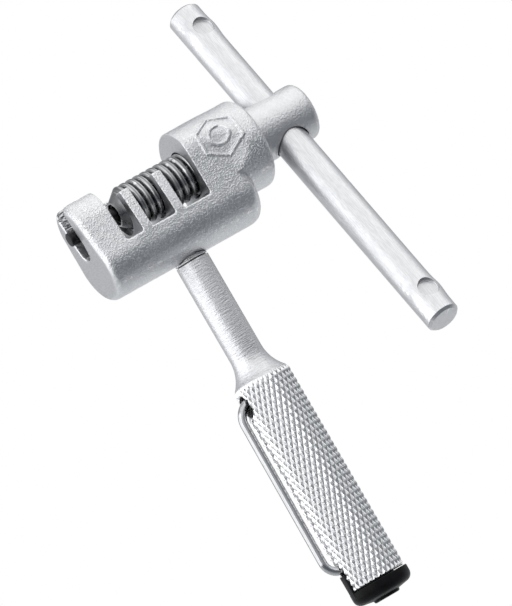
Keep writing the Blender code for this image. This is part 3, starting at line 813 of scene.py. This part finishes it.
def make_hook(material):
    """A round wire swept along its path, with rounded ends."""
    path = [Vector(point) for point in hook_path()]
    stations = []
    for i, centre in enumerate(path):
        along = (path[min(i + 1, len(path) - 1)] - path[max(i - 1, 0)]).normalized()
        stations.append((centre, along, WIRE_RADIUS))
    (first, out, _), (last, back, _) = stations[0], stations[-1]
    stations = wire_end(first, out, out) + stations[1:-1] + wire_end(last, -back, back)[::-1]
    points = []
    for centre, along, radius in stations:
        across = Vector((-along.y, along.x))
        for step in range(WIRE_STEPS):
            turn = 2 * math.pi * step / WIRE_STEPS
            middle = centre + across * (radius * math.cos(turn))
            points.append((middle.x, radius * math.sin(turn), middle.y))
    here = np.arange(WIRE_STEPS)
    after = (here + 1) % WIRE_STEPS
    end_row = (len(stations) - 1) * WIRE_STEPS
    faces = [here[::-1], end_row + here]
    for row in range(0, end_row, WIRE_STEPS):
        faces += zip(row + here, row + after, row + WIRE_STEPS + after, row + WIRE_STEPS + here)
    hook = solid("wire_hook", points, faces)
    finish_piece(hook, "hook", "bright_wire", material, "chain_hook")


def make_cap(material):
    """The moulded cap: flange, domed underside and boss, with a plug, a tongue and a socket above."""
    top = GRIP_END_Z - CAP_GAP
    root = top - CAP_ROOT
    boss_top = CAP_LOW.z + CAP_BOSS_HEIGHT
    rim_low = CAP_LOW.z + CAP_RIM_HEIGHT
    flange = rounded([(0.0, top), (CAP_RADIUS, top, 0.18), (CAP_RADIUS, rim_low, CAP_RIM),
                      (CAP_BOSS_RADIUS, boss_top, 0.12), (CAP_BOSS_RADIUS, CAP_LOW.z, 0.45),
                      (0.0, CAP_LOW.z)], steps=6)
    cap = turned("moulded_cap", flange, 96)
    cap.matrix_world = at(CAP_SHIFT_X)
    step_top = GRIP_END_Z - (CAP_GAP - CAP_STEP) / 3
    step_low = step_top - CAP_STEP
    plug_top = SPARE_LOW.z + PLUG_ABOVE_SPARE
    plug = turned("plug", rounded([(0.0, root), (PLUG_RADIUS, root), (PLUG_RADIUS, step_low),
                                   (CAP_STEP_RADIUS, step_low), (CAP_STEP_RADIUS, step_top),
                                   (PLUG_RADIUS, step_top), (PLUG_RADIUS, plug_top, 0.4),
                                   (0.0, plug_top)]), 72)
    combine(cap, plug, "UNION")
    tongue_half = NOTCH_HALF - GAP
    tongue = slab("tongue", (-TONGUE_OUTER, -tongue_half, root),
                  (-PLUG_RADIUS + 0.4, tongue_half, HOOK_LOW.z - GAP), 0.15)
    combine(cap, tongue, "UNION")
    across, deep, low = spare_place()
    socket = turned("socket", [(SPARE_SOCKET, low - GAP), (SPARE_SOCKET, 0.0)], 48)
    socket.matrix_world = at(across, deep)
    combine(cap, socket, "DIFFERENCE")
    finish_piece(cap, "cap", "black_plastic", material, "end_cap")


# -------- materials

class Nodes:
    """Short calls that add nodes to a tree."""

    def __init__(self, tree):
        self.tree = tree

    def node(self, kind, inputs, **settings):
        node = self.tree.nodes.new(kind)
        for key, value in settings.items():
            setattr(node, key, value)
        for key, value in inputs.items():
            self.feed(node.inputs[key], value)
        return node

    def feed(self, socket, value):
        if isinstance(value, bpy.types.NodeSocket):
            self.tree.links.new(value, socket)
        else:
            socket.default_value = value


class Finish(Nodes):
    """A Principled material with a procedural finish."""

    def __init__(self, name, metallic, turn=(0.0, 0.0, 0.0)):
        self.turn = turn
        self.material = bpy.data.materials.new(name)
        self.material.use_nodes = True
        super().__init__(self.material.node_tree)
        self.shader = self.tree.nodes["Principled BSDF"]
        self.shader.inputs["Metallic"].default_value = metallic

    def place(self, stretch=(1.0, 1.0, 1.0)):
        """The piece's coordinates in millimetres, with its turn undone, each divided by its stretch."""
        source = self.node("ShaderNodeTexCoord", {}).outputs["Object"]
        scale = tuple(MM * share for share in stretch)
        inputs = {"Vector": source, "Rotation": self.turn, "Scale": scale}
        return self.node("ShaderNodeMapping", inputs, vector_type="TEXTURE").outputs["Vector"]

    def grain(self, place, size, detail=2.0):
        """Soft noise about 0.5, with features of the given size."""
        inputs = {"Vector": place, "Scale": 1 / size, "Detail": detail, "Roughness": 0.55}
        return self.node("ShaderNodeTexNoise", inputs).outputs["Fac"]

    def attribute(self, name):
        return self.node("ShaderNodeAttribute", {}, attribute_name=name).outputs["Fac"]

    def span(self, value, low, high, start, end):
        """Maps low..high to start..end, and holds it there outside."""
        inputs = {"Value": value, "From Min": low, "From Max": high, "To Min": start, "To Max": end}
        return self.node("ShaderNodeMapRange", inputs, interpolation_type="SMOOTHSTEP").outputs["Result"]

    def math(self, operation, first, second):
        return self.node("ShaderNodeMath", {0: first, 1: second}, operation=operation).outputs["Value"]

    def mix(self, share, first, second):
        """A colour between two colours."""
        node = self.tree.nodes.new("ShaderNodeMix")
        node.data_type = "RGBA"
        self.feed(node.inputs["Factor"], share)
        self.feed(node.inputs[6], (*first, 1.0) if isinstance(first, tuple) else first)
        self.feed(node.inputs[7], (*second, 1.0) if isinstance(second, tuple) else second)
        return node.outputs[2]

    def blend(self, value, first, second, low=0.3, high=0.7):
        """A colour between two colours, where a value runs from low to high."""
        return self.mix(self.span(value, low, high, 0.0, 1.0), first, second)

    def split(self, place, axis):
        return self.node("ShaderNodeSeparateXYZ", {"Vector": place}).outputs[axis]

    def edges(self, low, high):
        """1 on outer edges: wear that polishes and rubs them, and painted highlight along them."""
        point = self.node("ShaderNodeNewGeometry", {}).outputs["Pointiness"]
        return self.span(point, low, high, 0.0, 1.0)

    def bump(self, height, depth, normal=None):
        """Relief with a depth in millimetres."""
        inputs = {"Height": height, "Distance": depth * MM}
        if normal:
            inputs["Normal"] = normal
        return self.node("ShaderNodeBump", inputs).outputs["Normal"]

    def set(self, **inputs):
        names = {"color": "Base Color", "roughness": "Roughness", "normal": "Normal",
                 "specular": "Specular IOR Level"}
        for key, value in inputs.items():
            self.feed(self.shader.inputs[names[key]], value)
        return self.material


def cast_nickel():
    """Satin nickel plate: pebbled where the casting shows, finely ground on the machined faces."""
    finish = Finish("cast_nickel", 1.0)
    place = finish.place()
    cast = finish.attribute("cast")
    pebble = finish.span(finish.grain(place, 0.38, 1.0), 0.46, 0.66, 0.0, 1.0)
    ground = finish.grain(finish.place((0.5, 2.5, 0.35)), 0.5)
    cloud = finish.grain(place, 5.0)
    edge_wear_and_highlight = finish.edges(0.515, 0.58)
    skin = finish.mix(pebble, (0.74, 0.745, 0.76), (0.89, 0.89, 0.90))
    flat = finish.blend(ground, (0.60, 0.605, 0.62), (0.70, 0.70, 0.715))
    # Painted shade: machined walls inside the slots take a darker colour.
    flat = finish.mix(finish.attribute("slot"), flat, (0.36, 0.365, 0.38))
    color = finish.mix(cast, flat, skin)
    color = finish.mix(finish.span(cloud, 0.35, 0.7, 0.0, 0.07), color, (0.52, 0.53, 0.55))
    # Edge wear and painted highlight: outer edges are coloured brighter, as thin bright rims, and a
    # little smoother.
    color = finish.mix(edge_wear_and_highlight, color, (0.93, 0.93, 0.93))
    rough = finish.span(cloud, 0.3, 0.7, 0.36, 0.42)
    rough = finish.math("SUBTRACT", rough, finish.math("MULTIPLY", edge_wear_and_highlight, 0.1))
    coarse = finish.span(finish.split(place, "Z"), *SMOOTH_SKIN_Z, 0.45, 1.0)
    pits = finish.math("MULTIPLY", pebble, finish.math("MULTIPLY", cast, coarse))
    normal = finish.bump(ground, 0.008, finish.bump(pits, PEBBLE_BUMP))
    return finish.set(color=color, roughness=rough, normal=normal)


def turned_steel(name, stretch, mark, chatter, gloss, turn=(0.0, 0.0, 0.0)):
    """Plated steel with marks along or round the piece.

    A stretch lengthens the grain along each axis. The depths of the marks and of the lathe's chatter are
    in millimetres, gloss is the range of the roughness, and turn is the one that the mesh was turned by.
    """
    finish = Finish(name, 1.0, turn)
    fine = finish.grain(finish.place(stretch), 0.16, 3.0)
    broad = finish.grain(finish.place(tuple(share ** 0.5 for share in stretch)), 1.4)
    cloud = finish.grain(finish.place(), 4.0)
    edge_wear_and_highlight = finish.edges(0.52, 0.62)
    color = finish.blend(fine, (0.65, 0.65, 0.665), (0.79, 0.79, 0.80))
    color = finish.mix(finish.span(cloud, 0.4, 0.7, 0.0, 0.06), color, (0.58, 0.585, 0.60))
    # Edge wear and painted highlight: outer edges are coloured brighter.
    color = finish.mix(edge_wear_and_highlight, color, (0.94, 0.94, 0.94))
    # Painted shade in the gaps round the ring's collar; the bar's dimple floors take a little of the same
    # dark colour.
    color = finish.mix(finish.attribute("recess_darkening"), color, (0.09, 0.09, 0.09))
    knurled = finish.attribute("knurled")
    # Painted sheen: the knurled grip's colour is raised to stand in for the light that its facets catch.
    color = finish.mix(knurled, color, (0.90, 0.90, 0.905))
    rough = finish.span(broad, 0.25, 0.75, *gloss)
    rough = finish.math("SUBTRACT", rough, finish.math("MULTIPLY", knurled, 0.12))
    rings = finish.grain(finish.place((2.2, 2.2, 0.35)), 1.0)
    rings = finish.math("MULTIPLY", rings, finish.math("SUBTRACT", 1.0, knurled))
    pits = finish.grain(finish.place(), 0.38)
    normal = finish.bump(fine, mark, finish.bump(rings, chatter, finish.bump(pits, 0.05)))
    return finish.set(color=color, roughness=rough, normal=normal)


def screw_steel():
    """Bare dark steel with lathe lines on the thread, and plate on the head."""
    finish = Finish("screw_steel", 1.0)
    plated = finish.attribute("plated")
    lines = finish.grain(finish.place((3.0, 3.0, 0.25)), 0.3)
    cloud = finish.grain(finish.place(), 2.5, 3.0)
    bare = finish.blend(cloud, (0.19, 0.195, 0.20), (0.27, 0.275, 0.28))
    # Painted highlight: the thread's sharp crests are coloured near white, as thin bright lines along
    # them.
    bare = finish.mix(finish.edges(0.50, 0.56), bare, (0.86, 0.86, 0.86))
    plate = finish.blend(lines, (0.69, 0.695, 0.71), (0.79, 0.79, 0.80))
    color = finish.mix(plated, bare, plate)
    rough = finish.span(cloud, 0.3, 0.7, 0.24, 0.34)
    rough = finish.math("ADD", rough, finish.math("MULTIPLY", plated, 0.14))
    pits = finish.math("MULTIPLY", finish.grain(finish.place(), 0.4), plated)
    normal = finish.bump(lines, 0.005, finish.bump(pits, 0.15))
    return finish.set(color=color, roughness=rough, normal=normal)


def black_oxide():
    """Blackened hard steel, rubbed grey on its edges."""
    finish = Finish("black_oxide", 0.7)
    cloud = finish.grain(finish.place(), 0.8, 3.0)
    color = finish.blend(cloud, (0.010, 0.010, 0.012), (0.030, 0.030, 0.033), low=0.35)
    color = finish.mix(finish.edges(0.53, 0.65), color, (0.10, 0.10, 0.105))
    lines = finish.grain(finish.place((3.0, 3.0, 0.2)), 0.25)
    rough = finish.span(cloud, 0.3, 0.7, 0.26, 0.42)
    return finish.set(color=color, roughness=rough, normal=finish.bump(lines, 0.006))


def bright_wire():
    """Polished spring wire with faint drawing lines."""
    finish = Finish("bright_wire", 1.0)
    streak = finish.grain(finish.place((0.5, 0.5, 8.0)), 0.35, 3.0)
    color = finish.blend(streak, (0.46, 0.465, 0.47), (0.61, 0.61, 0.62))
    rough = finish.span(streak, 0.3, 0.7, 0.10, 0.2)
    return finish.set(color=color, roughness=rough, normal=finish.bump(streak, 0.006))


def black_plastic():
    """Moulded plastic with a fine spark-eroded skin and lightly rubbed edges."""
    finish = Finish("black_plastic", 0.0)
    skin = finish.grain(finish.place(), 0.22)
    cloud = finish.grain(finish.place(), 3.0, 3.0)
    color = finish.blend(cloud, (0.005, 0.005, 0.0055), (0.010, 0.010, 0.011))
    color = finish.mix(finish.edges(0.52, 0.62), color, (0.035, 0.035, 0.037))
    rough = finish.span(cloud, 0.3, 0.7, 0.30, 0.42)
    return finish.set(color=color, roughness=rough, normal=finish.bump(skin, 0.02), specular=0.1)


# -------- studio

def make_floor():
    """A plain pale floor that stays clear of the cap when it is pulled out."""
    travel = max(abs(limit) for limit in JOINTS["cap_pull"]["range_m"]) / MM
    height = CAP_LOW.z - travel - FLOOR_CLEARANCE
    corners = [Vector((x * FLOOR_HALF, y * FLOOR_HALF, height)) * MM
               for x, y in ((-1, -1), (1, -1), (1, 1), (-1, 1))]
    mesh = bpy.data.meshes.new("floor")
    mesh.from_pydata(corners, [], [(0, 1, 2, 3)])
    floor = link_object("floor", mesh)
    floor.matrix_world = at()
    finish = Finish("pale_floor", 0.0)
    place = finish.place()
    cloud = finish.grain(place, 60.0)
    pale = finish.mix(cloud, (0.80, 0.80, 0.80), (0.84, 0.84, 0.84))
    # Painted shade seen only in reflections: the floor runs from dark in front of the tool to bright
    # behind it; the camera sees it evenly pale.
    reflected_floor_shade = finish.blend(finish.split(place, "Y"), (0.148, 0.158, 0.174), (0.61, 0.62, 0.63), *FLOOR_SHADE_Y)
    seen = finish.node("ShaderNodeLightPath", {}).outputs["Is Camera Ray"]
    mesh.materials.append(finish.set(color=finish.mix(seen, reflected_floor_shade, pale), roughness=1.0, specular=0.0))


def softbox(name, towards, distance, size, radiance):
    """A rectangular softbox that faces the tool from a direction."""
    light = bpy.data.lights.new(name, "AREA")
    light.shape = "RECTANGLE"
    light.size, light.size_y = (side * MM for side in size)
    light.energy = radiance * math.pi * size[0] * size[1] * MM ** 2
    lamp = link_object(name, light)
    direction = Vector(towards).normalized()
    turn = direction.to_track_quat("Z", "Y").to_matrix().to_4x4()
    lamp.matrix_world = Matrix.Translation((TOOL_ORIGIN + direction * distance) * MM) @ turn
    return lamp


def make_world():
    """A white backdrop for the camera, and a soft room for light and reflections."""
    world = bpy.data.worlds.new("studio")
    bpy.context.scene.world = world
    world.use_nodes = True
    world.node_tree.nodes.clear()
    node = Nodes(world.node_tree).node
    direction = node("ShaderNodeTexCoord", {}).outputs["Generated"]
    level = 0.0
    for towards, low, high, gain in ROOM_LOBES:
        facing = node("ShaderNodeVectorMath", {0: direction, 1: Vector(towards).normalized()},
                      operation="DOT_PRODUCT").outputs["Value"]
        ends = {"Value": facing, "From Min": low, "From Max": high, "To Min": 0.0, "To Max": gain}
        lobe = node("ShaderNodeMapRange", ends, interpolation_type="SMOOTHSTEP").outputs["Result"]
        level = node("ShaderNodeMath", {0: lobe, 1: level}, operation="ADD").outputs["Value"]
    lobes = node("ShaderNodeBackground", {"Strength": level, "Color": (*LOBE_TINT, 1.0)})
    dim = node("ShaderNodeBackground", {"Strength": ROOM_LEVEL, "Color": (*ROOM_TINT, 1.0)})
    room = node("ShaderNodeAddShader", {0: lobes.outputs[0], 1: dim.outputs[0]})
    white = node("ShaderNodeBackground", {"Strength": 1.0, "Color": (1.0, 1.0, 1.0, 1.0)})
    seen = node("ShaderNodeLightPath", {}).outputs["Is Camera Ray"]
    mixed = node("ShaderNodeMixShader", {0: seen, 1: room.outputs[0], 2: white.outputs[0]})
    node("ShaderNodeOutputWorld", {"Surface": mixed.outputs[0]})


def make_camera():
    """Looks at the tool from slightly left of straight on, rolled so that the handle leans."""
    camera = bpy.data.cameras.new("camera")
    camera.sensor_width = SENSOR
    camera.lens = SENSOR * VIEW_DISTANCE / VIEW_SPAN
    camera.clip_start = 0.1
    camera.clip_end = 20.0
    obj = link_object("camera", camera)
    level = math.cos(VIEW_ELEVATION)
    back = Vector((-math.sin(VIEW_AZIMUTH) * level, -math.cos(VIEW_AZIMUTH) * level,
                   math.sin(VIEW_ELEVATION)))
    obj.rotation_mode = "QUATERNION"
    obj.rotation_quaternion = back.to_track_quat("Z", "Y") @ Quaternion((0, 0, 1), VIEW_ROLL)
    obj.location = (TOOL_ORIGIN + VIEW_AIM + back * VIEW_DISTANCE) * MM
    bpy.context.scene.camera = obj


def make_studio():
    """The key light only shows in reflections, and the floor light only on matt surfaces."""
    make_floor()
    make_world()
    softbox("key_light", *KEY_LIGHT).visible_diffuse = False
    softbox("floor_light", *FLOOR_LIGHT).visible_glossy = False
    make_camera()
    bpy.context.scene.view_settings.view_transform = "Standard"


# -------- build

drawn = turned_steel("drawn_bar_steel", (1.0, 1.0, 14.0), mark=0.006, chatter=0.004, gloss=(0.36, 0.46),
                     turn=tuple(bar_turn().to_euler()))
lathe_turned = turned_steel("lathe_turned_steel", (6.0, 6.0, 1.0), mark=0.008, chatter=0.09,
                            gloss=(0.38, 0.45))
oxide = black_oxide()
make_casting(cast_nickel())
make_ring(lathe_turned)
make_handle(lathe_turned)
make_screw(screw_steel())
make_bush(oxide)
make_pins(oxide)
make_bar(drawn)
make_hook(bright_wire())
make_cap(black_plastic())
make_studio()
